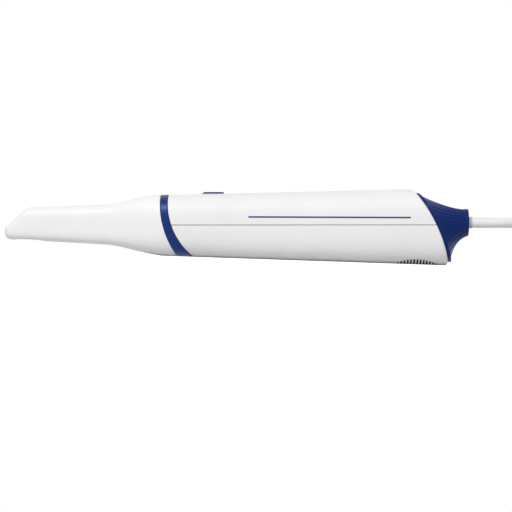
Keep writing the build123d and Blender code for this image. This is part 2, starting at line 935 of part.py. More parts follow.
def tail_cap():
    spigot = handle_form(shell_wall + seat_clearance) & behind_tail(-spigot_length)
    spigot -= behind_tail(lip_width)
    hollow = handle_form(shell_wall + seat_clearance + spigot_wall)
    hollow &= flare_form(tail_wall, False) + (slab(0, far) - behind_tail(lip_width))
    hollow &= slab(0, tail_floor_x)
    rim = rod(neck_end_x - neck_rim_length, neck_end_x, neck_z, neck_radius + neck_rim_proud)
    rim = fillet(rim.edges().group_by(Axis.X)[-1], neck_rim_round)
    grommet_front = neck_end_x - grommet_recess - grommet_length
    cable_hole = rod(tail_floor_x - over_cut, far, neck_z, cable_radius + glue_gap)
    grommet_hole = rod(grommet_front, far, neck_z, grommet_radius + glue_gap)
    cap = tail_lip() + [flare_form(0.0, True), rim, spigot]
    return cap - [hollow, cable_hole, grommet_hole]


def cable_grommet():
    rear = neck_end_x - grommet_recess
    ring = rod(rear - grommet_length, rear, neck_z, grommet_radius)
    ring += rod(rear, neck_end_x + grommet_lip_length, neck_z, grommet_lip_radius)
    return ring - rod(0, far, neck_z, cable_radius + glue_gap)


def cable_clamp():
    ring = rod(tail_floor_x - clamp_length, tail_floor_x, neck_z, clamp_radius)
    return ring - rod(0, far, neck_z, cable_radius + glue_gap)


def inner_cable():
    return rod(main_board_rear_x(), neck_end_x, neck_z, cable_radius)


# Cable outside, on the surface that the belly lies on

def coil_top():
    return tie_thickness + (coil_layers - 1) * coil_pitch + 2 * cable_radius


def tube_along(path):
    """Round tube of the cable's size along a path."""
    start = Plane(origin=path @ 0, z_dir=path % 0)
    return sweep(start * Circle(cable_radius), path)


def cable(exit_place):
    """Free cable from the neck to the coil; its first run leaves along the neck."""
    first = [exit_place.position, (exit_place * Pos(cable_first_run, 0, 0)).position]
    points = first + [Vector(point) for point in cable_points]
    print("cable points", [tuple(round(value, 2) for value in point) for point in points])
    corner_radii = []
    for before, corner, after in zip(points, points[1:], points[2:]):
        run_in = corner - before
        run_out = after - corner
        half_turn = radians(run_in.get_angle(run_out)) / 2
        corner_radii.append(cable_bend_share * min(run_in.length, run_out.length) / tan(half_turn))
    path = FilletPolyline(*points, radius=corner_radii)
    tube = tube_along(path)
    section = pi * cable_radius * cable_radius
    print("cable radii", [round(radius, 1) for radius in corner_radii])
    print("cable volume over section times length", round(tube.volume / (section * path.length), 4))
    return tube


def cable_coil():
    inner = coil_inner_turn - cable_radius
    outer = coil_outer_turn + cable_radius
    middle = ((inner + outer) / 2, (tie_thickness + coil_top()) / 2)
    bundle = RectangleRounded(outer - inner, coil_top() - tie_thickness, coil_corner)
    return Pos(coil_x, coil_y, 0) * revolve(Plane.XZ * Pos(*middle) * bundle, Axis.Z)


def coil_tie():
    """Strap round the bundle of turns, on the side away from the handle."""
    inner_turn = coil_inner_turn - cable_radius
    inner = (inner_turn ** 2 - (tie_width / 2) ** 2) ** 0.5 - tie_clearance
    outer = coil_outer_turn + cable_radius + tie_clearance
    middle = ((inner + outer) / 2, (coil_top() + tie_thickness) / 2)
    hole = (outer - inner, coil_top() - tie_thickness + 2 * glue_gap)
    around = Rectangle(hole[0] + 2 * tie_thickness, coil_top() + tie_thickness)
    around = fillet(around.vertices(), tie_thickness)
    around -= Rectangle(*hole)
    strap = extrude(Plane.XZ * Pos(*middle) * around, tie_width / 2, both=True)
    return Pos(coil_x, coil_y, 0) * strap


def plug_z():
    return coil_top() + plug_height / 2


def plug_start():
    return (coil_x + tail_run, coil_y + coil_inner_turn, plug_z())


def cable_tail():
    """Last half turn, which climbs on top of the coil and ends in the plug."""
    first = (coil_x, coil_y - coil_inner_turn, plug_z() - tail_rise)
    middle = (coil_x - hypot(coil_inner_turn, tail_rise / 2), coil_y, plug_z() - tail_rise / 2)
    last = (coil_x, coil_y + coil_inner_turn, plug_z())
    path = ThreePointArc(first, middle, last) + Line(last, plug_start())
    return tube_along(Wire(path.edges()))


def plug_body():
    x, y, z = plug_start()
    section = RectangleRounded(plug_width, plug_height, plug_corner)
    body = Plane.YZ * extrude(section, plug_length)
    ends = body.edges().group_by(Axis.X)
    body = fillet(ends[0] + ends[-1], plug_edge_round)
    relief_ends = [Circle(cable_radius + glue_gap), Pos(0, 0, relief_length) * Circle(relief_radius)]
    relief = loft([Plane.YZ * end for end in relief_ends])
    return Pos(x, y, z) * (relief + Pos(relief_length, 0, 0) * body)


def plug_shell():
    x, y, z = plug_start()
    outer = SlotOverall(plug_shell_width, plug_shell_height)
    hollow = SlotOverall(plug_shell_width - 2 * plug_shell_wall, plug_shell_height - 2 * plug_shell_wall)
    tongue = Rectangle(plug_shell_width - 4 * plug_shell_wall, plug_tongue_thickness)
    shell = Plane.YZ * extrude(outer - hollow, plug_shell_length)
    shell += Plane.YZ * extrude(outer, plug_shell_wall)
    shell += Plane.YZ * extrude(tongue, plug_tongue_length)
    return Pos(x + relief_length + plug_length, y, z) * shell


# Build, lay the belly on z = 0 under the middle of the length, and write each piece

def scanner_pieces():
    tube = shell_tube()
    return {
        "tip_sleeve": tip_sleeve(),
        "tip_mirror": tip_mirror(),
        "collar_ring": collar_ring(),
        "upper_shell": upper_shell(tube),
        "lower_shell": lower_shell(tube),
        "nose_barrel": nose_barrel(),
        "front_window": front_window(),
        "tip_seal": tip_seal(),
        "chassis": chassis(),
        "bulkhead_screws": bulkhead_screws(),
        "chassis_screws": chassis_screws(),
        "camera_tube": lens_tube(camera_z),
        "camera_lens": lens(camera_z),
        "image_sensor": image_sensor(),
        "camera_board": camera_board(),
        "projector_tube": lens_tube(projector_z),
        "projector_lens": lens(projector_z),
        "pattern_slide": pattern_slide(),
        "light_block": light_block(),
        "light_board": light_board(),
        "main_board": main_board(),
        "board_screws": board_screws(),
        "processor": processor(),
        "thermal_pad": thermal_pad(),
        "memory_chips": memory_chips(),
        "heat_sink": heat_sink(),
        "cable_header": cable_header(),
        "vent_screen": vent_screen(),
        "fan_frame": fan_frame(),
        "fan_screws": fan_screws(),
        "fan_rotor": fan_rotor(),
        "button_cap": button_cap(),
        "button_gasket": button_gasket(),
        "switch_plunger": switch_plunger(),
        "switch_body": switch_body(),
        "button_board": button_board(),
        "button_screws": button_screws(),
        "tail_cap": tail_cap(),
        "cable_grommet": cable_grommet(),
        "cable_clamp": cable_clamp(),
        "inner_cable": inner_cable(),
    }


def cable_pieces(exit_place):
    return {
        "cable": cable(exit_place),
        "cable_coil": cable_coil(),
        "coil_tie": coil_tie(),
        "cable_tail": cable_tail(),
        "plug_body": plug_body(),
        "plug_shell": plug_shell(),
    }


def rest_place(pieces):
    """The move that lays the belly on z = 0, with the middle of the length over the origin."""
    slope = (rear_bottom - front_bottom) / (taper_rear_x - taper_front_x)
    tilt = Rot(0, -degrees(atan(slope)), 0)
    belly = tilt * Pos(taper_front_x, 0, belly_flat_depth - front_bottom)
    ends = Compound([tilt * pieces["tip_sleeve"], tilt * pieces["cable_grommet"]]).bounding_box()
    return Pos(-(ends.min.X + ends.max.X) / 2, 0, -belly.position.Z) * tilt


def as_shape(piece):
    items = piece if isinstance(piece, list) else [piece]
    solids = [solid for item in items for solid in item.solids()]
    return solids[0] if len(solids) == 1 else Compound(solids)


os.makedirs("parts", exist_ok=True)
axis_pieces = scanner_pieces()
rest = rest_place(axis_pieces)
cable_exit = rest * Pos(neck_end_x, 0, neck_z)
pieces = {name: rest * as_shape(piece) for name, piece in axis_pieces.items()}
pieces |= {name: as_shape(piece) for name, piece in cable_pieces(cable_exit).items()}
for name, piece in pieces.items():
    export_step(piece, f"parts/{name}.step")
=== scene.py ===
import json
from math import cos, pi, radians, sin
import bmesh
import bpy
from mathutils import Matrix, Vector


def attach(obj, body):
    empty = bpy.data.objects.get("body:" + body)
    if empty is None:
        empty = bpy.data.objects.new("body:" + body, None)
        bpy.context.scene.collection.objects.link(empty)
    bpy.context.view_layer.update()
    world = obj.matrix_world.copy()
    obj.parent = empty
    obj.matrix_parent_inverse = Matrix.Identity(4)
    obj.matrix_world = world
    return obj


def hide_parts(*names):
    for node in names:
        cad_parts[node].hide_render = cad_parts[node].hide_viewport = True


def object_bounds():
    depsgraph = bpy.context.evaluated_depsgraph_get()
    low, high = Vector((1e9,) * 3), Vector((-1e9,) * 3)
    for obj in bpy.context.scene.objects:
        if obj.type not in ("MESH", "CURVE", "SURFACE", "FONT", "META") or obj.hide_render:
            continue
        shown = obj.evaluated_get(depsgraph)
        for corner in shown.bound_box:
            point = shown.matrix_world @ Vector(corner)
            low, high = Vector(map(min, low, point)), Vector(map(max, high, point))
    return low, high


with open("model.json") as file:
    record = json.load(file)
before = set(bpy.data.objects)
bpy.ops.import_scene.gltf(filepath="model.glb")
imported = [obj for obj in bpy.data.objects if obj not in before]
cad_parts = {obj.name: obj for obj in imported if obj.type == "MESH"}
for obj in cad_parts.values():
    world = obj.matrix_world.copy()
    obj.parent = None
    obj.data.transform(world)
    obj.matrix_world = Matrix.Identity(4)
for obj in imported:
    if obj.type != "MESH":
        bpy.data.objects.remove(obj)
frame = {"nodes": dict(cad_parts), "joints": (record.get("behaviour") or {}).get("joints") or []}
cad_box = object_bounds()
node_objects = frame["nodes"]

bl_info = {
    "name": "Intraoral scanner",
    "version": (1, 0, 0),
    "blender": (4, 5, 0),
    "location": "3D View > Sidebar > Scanner",
    "description": "Dresses a handheld intraoral scanner and its cable, and sets it on a studio floor",
    "category": "Object",
}


# Sizes and colours that a user would change

class ScannerSizes(bpy.types.PropertyGroup):
    """Sizes of the cable, the printed stripe and the picture."""
    cable_diameter: bpy.props.FloatProperty(
        name="Cable diameter", description="Outside of the cable's jacket",
        default=0.0054, min=0.001, precision=4, unit="LENGTH")
    coil_turns: bpy.props.IntProperty(
        name="Coil turns", description="Turns of the put-away cable, outer and inner together",
        default=9, min=1)
    points_per_turn: bpy.props.IntProperty(
        name="Points per turn", description="Route points on each turn of the coil",
        default=24, min=12)
    stripe_thickness: bpy.props.FloatProperty(
        name="Stripe thickness", description="Height of the printed line on the upper shell",
        default=0.00085, min=0.0001, precision=5, unit="LENGTH")
    picture_width: bpy.props.FloatProperty(
        name="Picture width", description="Width of the scene that the camera takes in",
        default=0.26624, min=0.05, precision=4, unit="LENGTH")
    camera_distance: bpy.props.FloatProperty(
        name="Camera distance", description="From the camera to the scanner's middle plane",
        default=1.2, min=0.2, unit="LENGTH")
    camera_roll: bpy.props.FloatProperty(
        name="Camera roll", description="Turn of the camera about its view, so that the nose lies level",
        default=radians(-1.94), subtype="ANGLE", unit="ROTATION")


class ScannerColours(bpy.types.PropertyGroup):
    """Colours of the finishes."""
    shell_white: bpy.props.FloatVectorProperty(
        name="Shell white", description="Tip and handle shells", subtype="COLOR", size=3,
        min=0.0, max=1.0, default=(0.9, 0.895, 0.895))
    trim_blue: bpy.props.FloatVectorProperty(
        name="Trim blue", description="Collar", subtype="COLOR", size=3,
        min=0.0, max=1.0, default=(0.001, 0.018, 0.12))
    tail_blue: bpy.props.FloatVectorProperty(
        name="Tail blue", description="Fluted tail", subtype="COLOR", size=3,
        min=0.0, max=1.0, default=(0.002, 0.018, 0.13))
    button_blue: bpy.props.FloatVectorProperty(
        name="Button blue", description="Push button", subtype="COLOR", size=3,
        min=0.0, max=1.0, default=(0.006, 0.018, 0.13))
    print_blue: bpy.props.FloatVectorProperty(
        name="Print blue", description="Printed stripe", subtype="COLOR", size=3,
        min=0.0, max=1.0, default=(0.04, 0.055, 0.26))
    rubber_grey: bpy.props.FloatVectorProperty(
        name="Rubber grey", description="Gasket, tip seal and cable grommet", subtype="COLOR", size=3,
        min=0.0, max=1.0, default=(0.42, 0.43, 0.44))
    # Inner black also paints the shade along the shell seam and in the cooling slots
    inner_black: bpy.props.FloatVectorProperty(
        name="Inner black", description="Nose barrel, lens tubes, fan, chips and felt",
        subtype="COLOR", size=3, min=0.0, max=1.0, default=(0.02, 0.02, 0.023))
    board_green: bpy.props.FloatVectorProperty(
        name="Board green", description="Solder mask of the circuit boards", subtype="COLOR", size=3,
        min=0.0, max=1.0, default=(0.01, 0.1, 0.045))
    jacket_white: bpy.props.FloatVectorProperty(
        name="Jacket white", description="Cable jacket and plug grip", subtype="COLOR", size=3,
        min=0.0, max=1.0, default=(0.89, 0.89, 0.89))


def sizes():
    return bpy.context.scene.scanner_sizes


def colours():
    return bpy.context.scene.scanner_colours


# Material building blocks

# Most values of a noise texture lie between these two
noise_low = 0.3
noise_high = 0.7
cloud_detail = 3.0
# A wave texture turns through so many radians along each unit of its scale
wave_turn = 20.0


class Finish:
    """A node material with one principled shader, read in object coordinates."""

    def __init__(self, name):
        self.material = bpy.data.materials.new(name)
        self.material.use_nodes = True
        self.tree = self.material.node_tree
        self.tree.nodes.clear()
        output = self.tree.nodes.new("ShaderNodeOutputMaterial")
        self.shader = self.tree.nodes.new("ShaderNodeBsdfPrincipled")
        self.tree.links.new(self.shader.outputs["BSDF"], output.inputs["Surface"])
        self.place = self.tree.nodes.new("ShaderNodeTexCoord").outputs["Object"]

    def set(self, name, value):
        self.shader.inputs[name].default_value = value
        return self

    def texture(self, kind, place=None, **settings):
        """Texture node with its sockets set, read at the object's own coordinates unless told otherwise."""
        node = self.tree.nodes.new(kind)
        for name, value in settings.items():
            node.inputs[name.replace("_", " ").title()].default_value = value
        self.tree.links.new(place or self.place, node.inputs["Vector"])
        return node

    def noise(self, scale, detail=2.0, place=None):
        return self.texture("ShaderNodeTexNoise", place, scale=scale, detail=detail).outputs["Fac"]

    def turned(self, turn=(0.0, 0.0, 0.0), stretch=(1.0, 1.0, 1.0)):
        """The object's coordinates, turned and stretched."""
        node = self.tree.nodes.new("ShaderNodeMapping")
        node.inputs["Rotation"].default_value = turn
        node.inputs["Scale"].default_value = stretch
        self.tree.links.new(self.place, node.inputs["Vector"])
        return node.outputs["Vector"]

    def within(self, axis, low, high, place=None):
        """1 where a coordinate lies between two values, otherwise 0."""
        split = self.tree.nodes.new("ShaderNodeSeparateXYZ")
        self.tree.links.new(place or self.place, split.inputs["Vector"])
        middle = self.tree.nodes.new("ShaderNodeMath")
        middle.operation = "COMPARE"
        middle.inputs[1].default_value = (low + high) / 2.0
        middle.inputs[2].default_value = (high - low) / 2.0
        self.tree.links.new(split.outputs[axis], middle.inputs[0])
        return middle.outputs[0]

    def over(self, share, colour):
        """Lays a second colour over the base colour where the share is 1."""
        socket = self.shader.inputs["Base Color"]
        mix = self.tree.nodes.new("ShaderNodeMix")
        mix.data_type = "RGBA"
        self.tree.links.new(share, mix.inputs[0])
        self.tree.links.new(socket.links[0].from_socket, mix.inputs[6])
        mix.inputs[7].default_value = (*colour, 1.0)
        self.tree.links.new(mix.outputs[2], socket)
        return self

    def threads(self, pitch, direction):
        """Round ridges side by side, a pitch apart."""
        node = self.texture("ShaderNodeTexWave", scale=2.0 * pi / (wave_turn * pitch))
        node.bands_direction = direction
        return node.outputs["Fac"]

    def merge(self, kind, share_a, share_b):
        node = self.tree.nodes.new("ShaderNodeMath")
        node.operation = kind
        self.tree.links.new(share_a, node.inputs[0])
        self.tree.links.new(share_b, node.inputs[1])
        return node.outputs[0]

    def blend(self, share, colour_a, colour_b, low=noise_low, high=noise_high):
        """Base colour that runs from one colour to another as the share rises from low to high."""
        ramp = self.tree.nodes.new("ShaderNodeValToRGB")
        ramp.color_ramp.elements[0].position = low
        ramp.color_ramp.elements[0].color = (*colour_a, 1.0)
        ramp.color_ramp.elements[1].position = high
        ramp.color_ramp.elements[1].color = (*colour_b, 1.0)
        self.tree.links.new(share, ramp.inputs["Fac"])
        self.tree.links.new(ramp.outputs["Color"], self.shader.inputs["Base Color"])
        return self

    def gloss(self, share, low, high):
        """Roughness that runs from low to high with the share."""
        spread = self.tree.nodes.new("ShaderNodeMapRange")
        spread.inputs["From Min"].default_value = noise_low
        spread.inputs["From Max"].default_value = noise_high
        spread.inputs["To Min"].default_value = low
        spread.inputs["To Max"].default_value = high
        self.tree.links.new(share, spread.inputs["Value"])
        self.tree.links.new(spread.outputs["Result"], self.shader.inputs["Roughness"])
        return self

    def grain(self, height, strength, depth):
        """Fine surface relief of a given depth in metres."""
        bump = self.tree.nodes.new("ShaderNodeBump")
        bump.inputs["Strength"].default_value = strength
        bump.inputs["Distance"].default_value = depth
        self.tree.links.new(height, bump.inputs["Height"])
        self.tree.links.new(bump.outputs["Normal"], self.shader.inputs["Normal"])
        return self


def shade(colour, factor):
    return tuple(min(1.0, part * factor) for part in colour)


plastic_cloud_scale = 45.0
plastic_cloud_share = 0.015
plastic_gloss_scale = 220.0
plastic_gloss_spread = 0.04


def moulded_plastic(name, colour, roughness, grain_size, relief, shine=0.5):
    """Moulded plastic with a faint cloud in its colour, an uneven gloss and a fine spark-eroded grain."""
    finish = Finish(name).set("Specular IOR Level", shine)
    cloud = finish.noise(plastic_cloud_scale, cloud_detail)
    finish.blend(cloud, shade(colour, 1.0 - plastic_cloud_share), shade(colour, 1.0 + plastic_cloud_share))
    polish = finish.noise(plastic_gloss_scale, cloud_detail)
    finish.gloss(polish, roughness - plastic_gloss_spread, roughness + plastic_gloss_spread)
    finish.grain(finish.noise(1.0 / grain_size), strength=0.35, depth=relief)
    return finish


metal_patch_scale = 300.0
metal_polish_scale = 900.0
metal_grain_scale = 1600.0
metal_grain_depth = 0.00001


def metal(name, colour, roughness, draw=(1.0, 1.0, 1.0)):
    """Bare metal with an uneven polish, drawn out along the way that it was rolled or turned."""
    finish = Finish(name).set("Metallic", 1.0)
    rolled = finish.turned(stretch=draw)
    patches = finish.noise(metal_patch_scale, cloud_detail, rolled)
    finish.blend(patches, shade(colour, 0.9), shade(colour, 1.06))
    polish = finish.noise(metal_polish_scale, cloud_detail, rolled)
    finish.gloss(polish, low=roughness - 0.06, high=roughness + 0.08)
    finish.grain(finish.noise(metal_grain_scale, place=rolled), strength=0.2, depth=metal_grain_depth)
    return finish


strap_warp_pitch = 0.0008
strap_weft_pitch = 0.0006
strap_nap_scale = 1800.0
strap_nap_depth = 0.00015


def looped_strap(name, colour):
    """Woven strap with a nap of fine loops."""
    finish = Finish(name).set("Roughness", 0.92).set("Sheen Weight", 0.3)
    weave = finish.merge(
        "MULTIPLY", finish.threads(strap_warp_pitch, "X"), finish.threads(strap_weft_pitch, "Z"))
    nap = finish.texture("ShaderNodeTexVoronoi", scale=strap_nap_scale).outputs["Distance"]
    finish.blend(finish.merge("ADD", weave, nap), shade(colour, 0.45), shade(colour, 1.3), low=0.1, high=0.9)
    finish.grain(nap, strength=0.7, depth=strap_nap_depth)
    return finish


mesh_pitch = 0.0005
mesh_relief = 0.0001


def dust_mesh(name, colour):
    """Fine woven mesh: dark openings between slightly lighter threads."""
    finish = Finish(name).set("Roughness", 0.8).set("Specular IOR Level", 0.1)
    weave = finish.merge("MAXIMUM", finish.threads(mesh_pitch, "X"), finish.threads(mesh_pitch, "Y"))
    finish.blend(weave, shade(colour, 0.3), colour, low=0.4, high=0.9)
    finish.grain(weave, strength=0.6, depth=mesh_relief)
    return finish


track_cloud_scale = 240.0
track_relief = 0.00004


def circuit_board(name, mask, turn=(0.0, 0.0, 0.0)):
    """Solder mask over copper tracks, which show as a paler net of thin lines."""
    finish = Finish(name).set("Roughness", 0.34)
    net = finish.texture(
        "ShaderNodeTexBrick", finish.turned(turn),
        scale=180.0, mortar_size=0.03, brick_width=0.9, row_height=0.17)
    cloud = finish.noise(track_cloud_scale, cloud_detail)
    tracks = finish.merge("MULTIPLY", net.outputs["Fac"], cloud)
    finish.blend(tracks, mask, shade(mask, 2.4), low=0.15, high=0.55)
    finish.grain(tracks, strength=0.4, depth=track_relief)
    return finish


tint_cloud_scale = 60.0


def optical_glass(name, tint):
    """Clear glass with the tint of its coating."""
    finish = Finish(name).set("Roughness", 0.02).set("Transmission Weight", 1.0).set("IOR", 1.5)
    return finish.blend(finish.noise(tint_cloud_scale), shade(tint, 0.97), tint)


def wear(piece, finish):
    """Gives a piece its finish in place of whatever it had."""
    piece.data.materials.clear()
    piece.data.materials.append(finish.material)


def dress(finish, *names):
    for name in names:
        wear(node_objects[name], finish)


def mesh_piece(name, shape):
    """Ends a bmesh as a new object at the origin."""
    mesh = bpy.data.meshes.new(name)
    shape.to_mesh(mesh)
    shape.free()
    piece = bpy.data.objects.new(name, mesh)
    bpy.context.scene.collection.objects.link(piece)
    return piece


# Camera, floor and light

picture_middle_x = 0.0093
picture_middle_z = 0.00153
lamp_aim = Vector((0.0, 0.0, 0.02))
key_place = Vector((-0.2, -1.15, 1.05))
key_width = 0.62
key_power = 13.1
back_place = Vector((0.3, 1.4, 0.4))
back_width = 0.8
back_power = 4.0
world_light = 0.46
floor_half_width = 20.0
floor_height = -0.0001
floor_grey = 0.67
floor_lift = 0.775


def nodes_and_links(owner):
    owner.use_nodes = True
    owner.node_tree.nodes.clear()
    return owner.node_tree.nodes, owner.node_tree.links


def seen_directly(nodes, links):
    """1 for rays from the camera, a reflection or a clear glass, otherwise 0."""
    path = nodes.new("ShaderNodeLightPath")
    seen = path.outputs["Is Camera Ray"]
    for kind in ("Is Glossy Ray", "Is Transmission Ray"):
        either = nodes.new("ShaderNodeMath")
        either.operation = "MAXIMUM"
        links.new(seen, either.inputs[0])
        links.new(path.outputs[kind], either.inputs[1])
        seen = either.outputs[0]
    return seen


def studio_world():
    """Even light all round, which looks white where it is seen."""
    world = bpy.data.worlds.new("studio")
    bpy.context.scene.world = world
    nodes, links = nodes_and_links(world)
    lit = nodes.new("ShaderNodeBackground")
    lit.inputs["Strength"].default_value = world_light
    white = nodes.new("ShaderNodeBackground")
    for background in (lit, white):
        background.inputs["Color"].default_value = (1.0, 1.0, 1.0, 1.0)
    mix = nodes.new("ShaderNodeMixShader")
    links.new(seen_directly(nodes, links), mix.inputs["Fac"])
    links.new(lit.outputs["Background"], mix.inputs[1])
    links.new(white.outputs["Background"], mix.inputs[2])
    output = nodes.new("ShaderNodeOutputWorld")
    links.new(mix.outputs["Shader"], output.inputs["Surface"])


def studio_floor():
    """White floor that stays white to the camera and still takes the scanner's shadow."""
    shape = bmesh.new()
    bmesh.ops.create_grid(shape, x_segments=1, y_segments=1, size=floor_half_width)
    bmesh.ops.translate(shape, vec=(0.0, 0.0, floor_height), verts=shape.verts)
    floor = mesh_piece("floor", shape)
    material = bpy.data.materials.new("floor_white")
    nodes, links = nodes_and_links(material)
    matt = nodes.new("ShaderNodeBsdfDiffuse")
    matt.inputs["Color"].default_value = (floor_grey, floor_grey, floor_grey, 1.0)
    glow = nodes.new("ShaderNodeEmission")
    strength = nodes.new("ShaderNodeMath")
    strength.operation = "MULTIPLY"
    strength.inputs[1].default_value = floor_lift
    links.new(seen_directly(nodes, links), strength.inputs[0])
    links.new(strength.outputs[0], glow.inputs["Strength"])
    both = nodes.new("ShaderNodeAddShader")
    links.new(matt.outputs["BSDF"], both.inputs[0])
    links.new(glow.outputs["Emission"], both.inputs[1])
    output = nodes.new("ShaderNodeOutputMaterial")
    links.new(both.outputs["Shader"], output.inputs["Surface"])
    floor.data.materials.append(material)


def soft_lamp(name, place, width, power):
    """Square lamp that points at the scanner."""
    data = bpy.data.lights.new(name, "AREA")
    data.shape = "SQUARE"
    data.size = width
    data.energy = power
    lamp = bpy.data.objects.new(name, data)
    lamp.location = place
    lamp.rotation_euler = (lamp_aim - place).to_track_quat("-Z", "Y").to_euler()
    bpy.context.scene.collection.objects.link(lamp)
    return lamp


def studio_camera():
    """Long lens, level with the scanner's belly, square on to its side."""
    data = bpy.data.cameras.new("camera")
    distance = sizes().camera_distance
    data.lens = data.sensor_width * distance / sizes().picture_width
    camera = bpy.data.objects.new("camera", data)
    camera.location = (picture_middle_x, -distance, picture_middle_z)
    upright = Matrix.Rotation(radians(90.0), 3, "X")
    camera.rotation_euler = (Matrix.Rotation(sizes().camera_roll, 3, "Y") @ upright).to_euler()
    bpy.context.scene.collection.objects.link(camera)
    bpy.context.scene.camera = camera


class SCANNER_OT_stage(bpy.types.Operator):
    """Sets the camera, the white floor and the soft studio light"""
    bl_idname = "scanner.stage"
    bl_label = "Studio"

    def execute(self, context):
        context.scene.view_settings.view_transform = "Standard"
        studio_camera()
        studio_world()
        studio_floor()
        soft_lamp("key_lamp", key_place, key_width, key_power)
        back_lamp = soft_lamp("back_lamp", back_place, back_width, back_power)
        back_lamp.visible_glossy = False
        return {"FINISHED"}


# Cable

cable_route = [
    (0.11886, 0.0, 0.02261),
    (0.13326, 0.0, 0.0231),
    (0.1486, 0.0074, 0.0235),
    (0.1648, 0.0152, 0.0248),
]
coil_middle = (0.179, -0.0135)
outer_turn = 0.02975
inner_turn = 0.02425
layer_pitch = 0.0055
top_layer = 0.0256
bottom_layer = 0.0036
outer_end = 4.0
inner_start = 4.25
tail_start = 8.5
tail_turns = 0.5
tail_foot = 0.027
plug_height = 0.0315
tail_run = 0.004
route_order = 3
route_steps = 6
jacket_roundness = 6
strap_black = (0.03, 0.03, 0.034)
plug_steel = (0.62, 0.62, 0.63)


def coil_point(turn):
    """Route of the put-away turns: down the outer layer, up the inner one, and onto the top."""
    if turn <= outer_end:
        reach = outer_turn
        height = top_layer - layer_pitch * turn
    elif turn <= inner_start:
        share = (turn - outer_end) / (inner_start - outer_end)
        reach = outer_turn + (inner_turn - outer_turn) * share
        height = bottom_layer
    elif turn <= tail_start:
        reach = inner_turn
        height = bottom_layer + layer_pitch * (turn - inner_start)
    else:
        reach = inner_turn
        share = (turn - tail_start) / tail_turns
        height = tail_foot + (plug_height - tail_foot) * (0.5 - 0.5 * cos(pi * share))
    angle = 2.0 * pi * turn
    return (coil_middle[0] + reach * sin(angle), coil_middle[1] + reach * cos(angle), height)


def cable_points():
    steps = sizes().points_per_turn
    coil = [coil_point(number / steps) for number in range(sizes().coil_turns * steps + 1)]
    end = coil[-1]
    return cable_route + coil + [(end[0] + tail_run, end[1], end[2])]


def cable_curve(points):
    data = bpy.data.curves.new("cable_jacket", "CURVE")
    data.dimensions = "3D"
    data.bevel_depth = sizes().cable_diameter / 2.0
    data.bevel_resolution = jacket_roundness
    data.resolution_u = route_steps
    data.use_fill_caps = True
    spline = data.splines.new("NURBS")
    spline.points.add(len(points) - 1)
    for control, place in zip(spline.points, points):
        control.co = (*place, 1.0)
    spline.order_u = route_order
    spline.use_endpoint_u = True
    piece = bpy.data.objects.new("cable_jacket", data)
    bpy.context.scene.collection.objects.link(piece)
    return piece


def jacket_finish(name):
    """Soft extruded jacket: satin, with a faint bloom and fine grain."""
    return moulded_plastic(
        name, tuple(colours().jacket_white), roughness=0.48, grain_size=0.00035, relief=0.00004)


class SCANNER_OT_cable(bpy.types.Operator):
    """Lays the cable from the neck to its put-away coil and dresses its strap and plug"""
    bl_idname = "scanner.cable"
    bl_label = "Cable, strap and plug"

    def execute(self, context):
        points = cable_points()
        cable = cable_curve(points)
        wear(cable, jacket_finish("cable_jacket_white"))
        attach(cable, "handle")
        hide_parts("cable", "cable_coil", "cable_tail")
        dress(jacket_finish("plug_grip_white"), "plug_body")
        dress(jacket_finish("inner_lead_white"), "inner_cable")
        dress(looped_strap("strap_black", strap_black), "coil_tie")
        dress(metal("plug_steel", plug_steel, roughness=0.25), "plug_shell")
        return {"FINISHED"}


# Shells, trim and button

seam_slope = radians(1.9406)
seam_height = 0.017125
# Half width of the painted shade band along the seam
seam_shadow = 0.00016
tip_share = 1.04
lacquer_shine = (0.3, 0.4, 1.0, 1.0)


def paint_seam_shade(finish):
    """Paints shade into the shell colour: a dark band over the parting faces and a thin strip of each outer
    face, where the join between the two shells lies in shadow; the band follows the handle's slope.
    """
    level = finish.turned((0.0, seam_slope, 0.0))
    seam_shade = finish.within("Z", seam_height - seam_shadow, seam_height + seam_shadow, level)
    finish.over(seam_shade, tuple(colours().inner_black))


class SCANNER_OT_shells(bpy.types.Operator):
    """Gives the handle shells their satin white and the tip its glossier one"""
    bl_idname = "scanner.shells"
    bl_label = "White shells"

    def execute(self, context):
        colour = tuple(colours().shell_white)
        shells = moulded_plastic(
            "shell_white", colour, roughness=0.5, grain_size=0.0003, relief=0.00002, shine=0.3)
        # Painted shade along the join between the two shells
        paint_seam_shade(shells)
        dress(shells, "upper_shell", "lower_shell")
        tip = moulded_plastic(
            "tip_white", shade(colour, tip_share),
            roughness=0.38, grain_size=0.0003, relief=0.00002, shine=0.28)
        dress(tip, "tip_sleeve")
        return {"FINISHED"}


class SCANNER_OT_trim(bpy.types.Operator):
    """Gives the collar, the fluted tail and the button their blue"""
    bl_idname = "scanner.trim"
    bl_label = "Blue trim and button"

    def execute(self, context):
        collar = moulded_plastic(
            "trim_blue", tuple(colours().trim_blue),
            roughness=0.34, grain_size=0.0006, relief=0.00001, shine=0.65)
        collar.set("Specular Tint", lacquer_shine)
        dress(collar, "collar_ring")
        tail = moulded_plastic(
            "tail_blue", tuple(colours().tail_blue),
            roughness=0.36, grain_size=0.0004, relief=0.00002, shine=0.12)
        dress(tail, "tail_cap")
        button = moulded_plastic(
            "button_blue", tuple(colours().button_blue),
            roughness=0.4, grain_size=0.0004, relief=0.00002, shine=0.1)
        dress(button, "button_cap")
        return {"FINISHED"}


# Printed stripe

stripe_start = Vector((0.0047, 0.0, 0.02142))
stripe_end = Vector((0.0879, 0.0, 0.02388))
stripe_segments = 120
stripe_rows = 2
print_depth = 0.00002


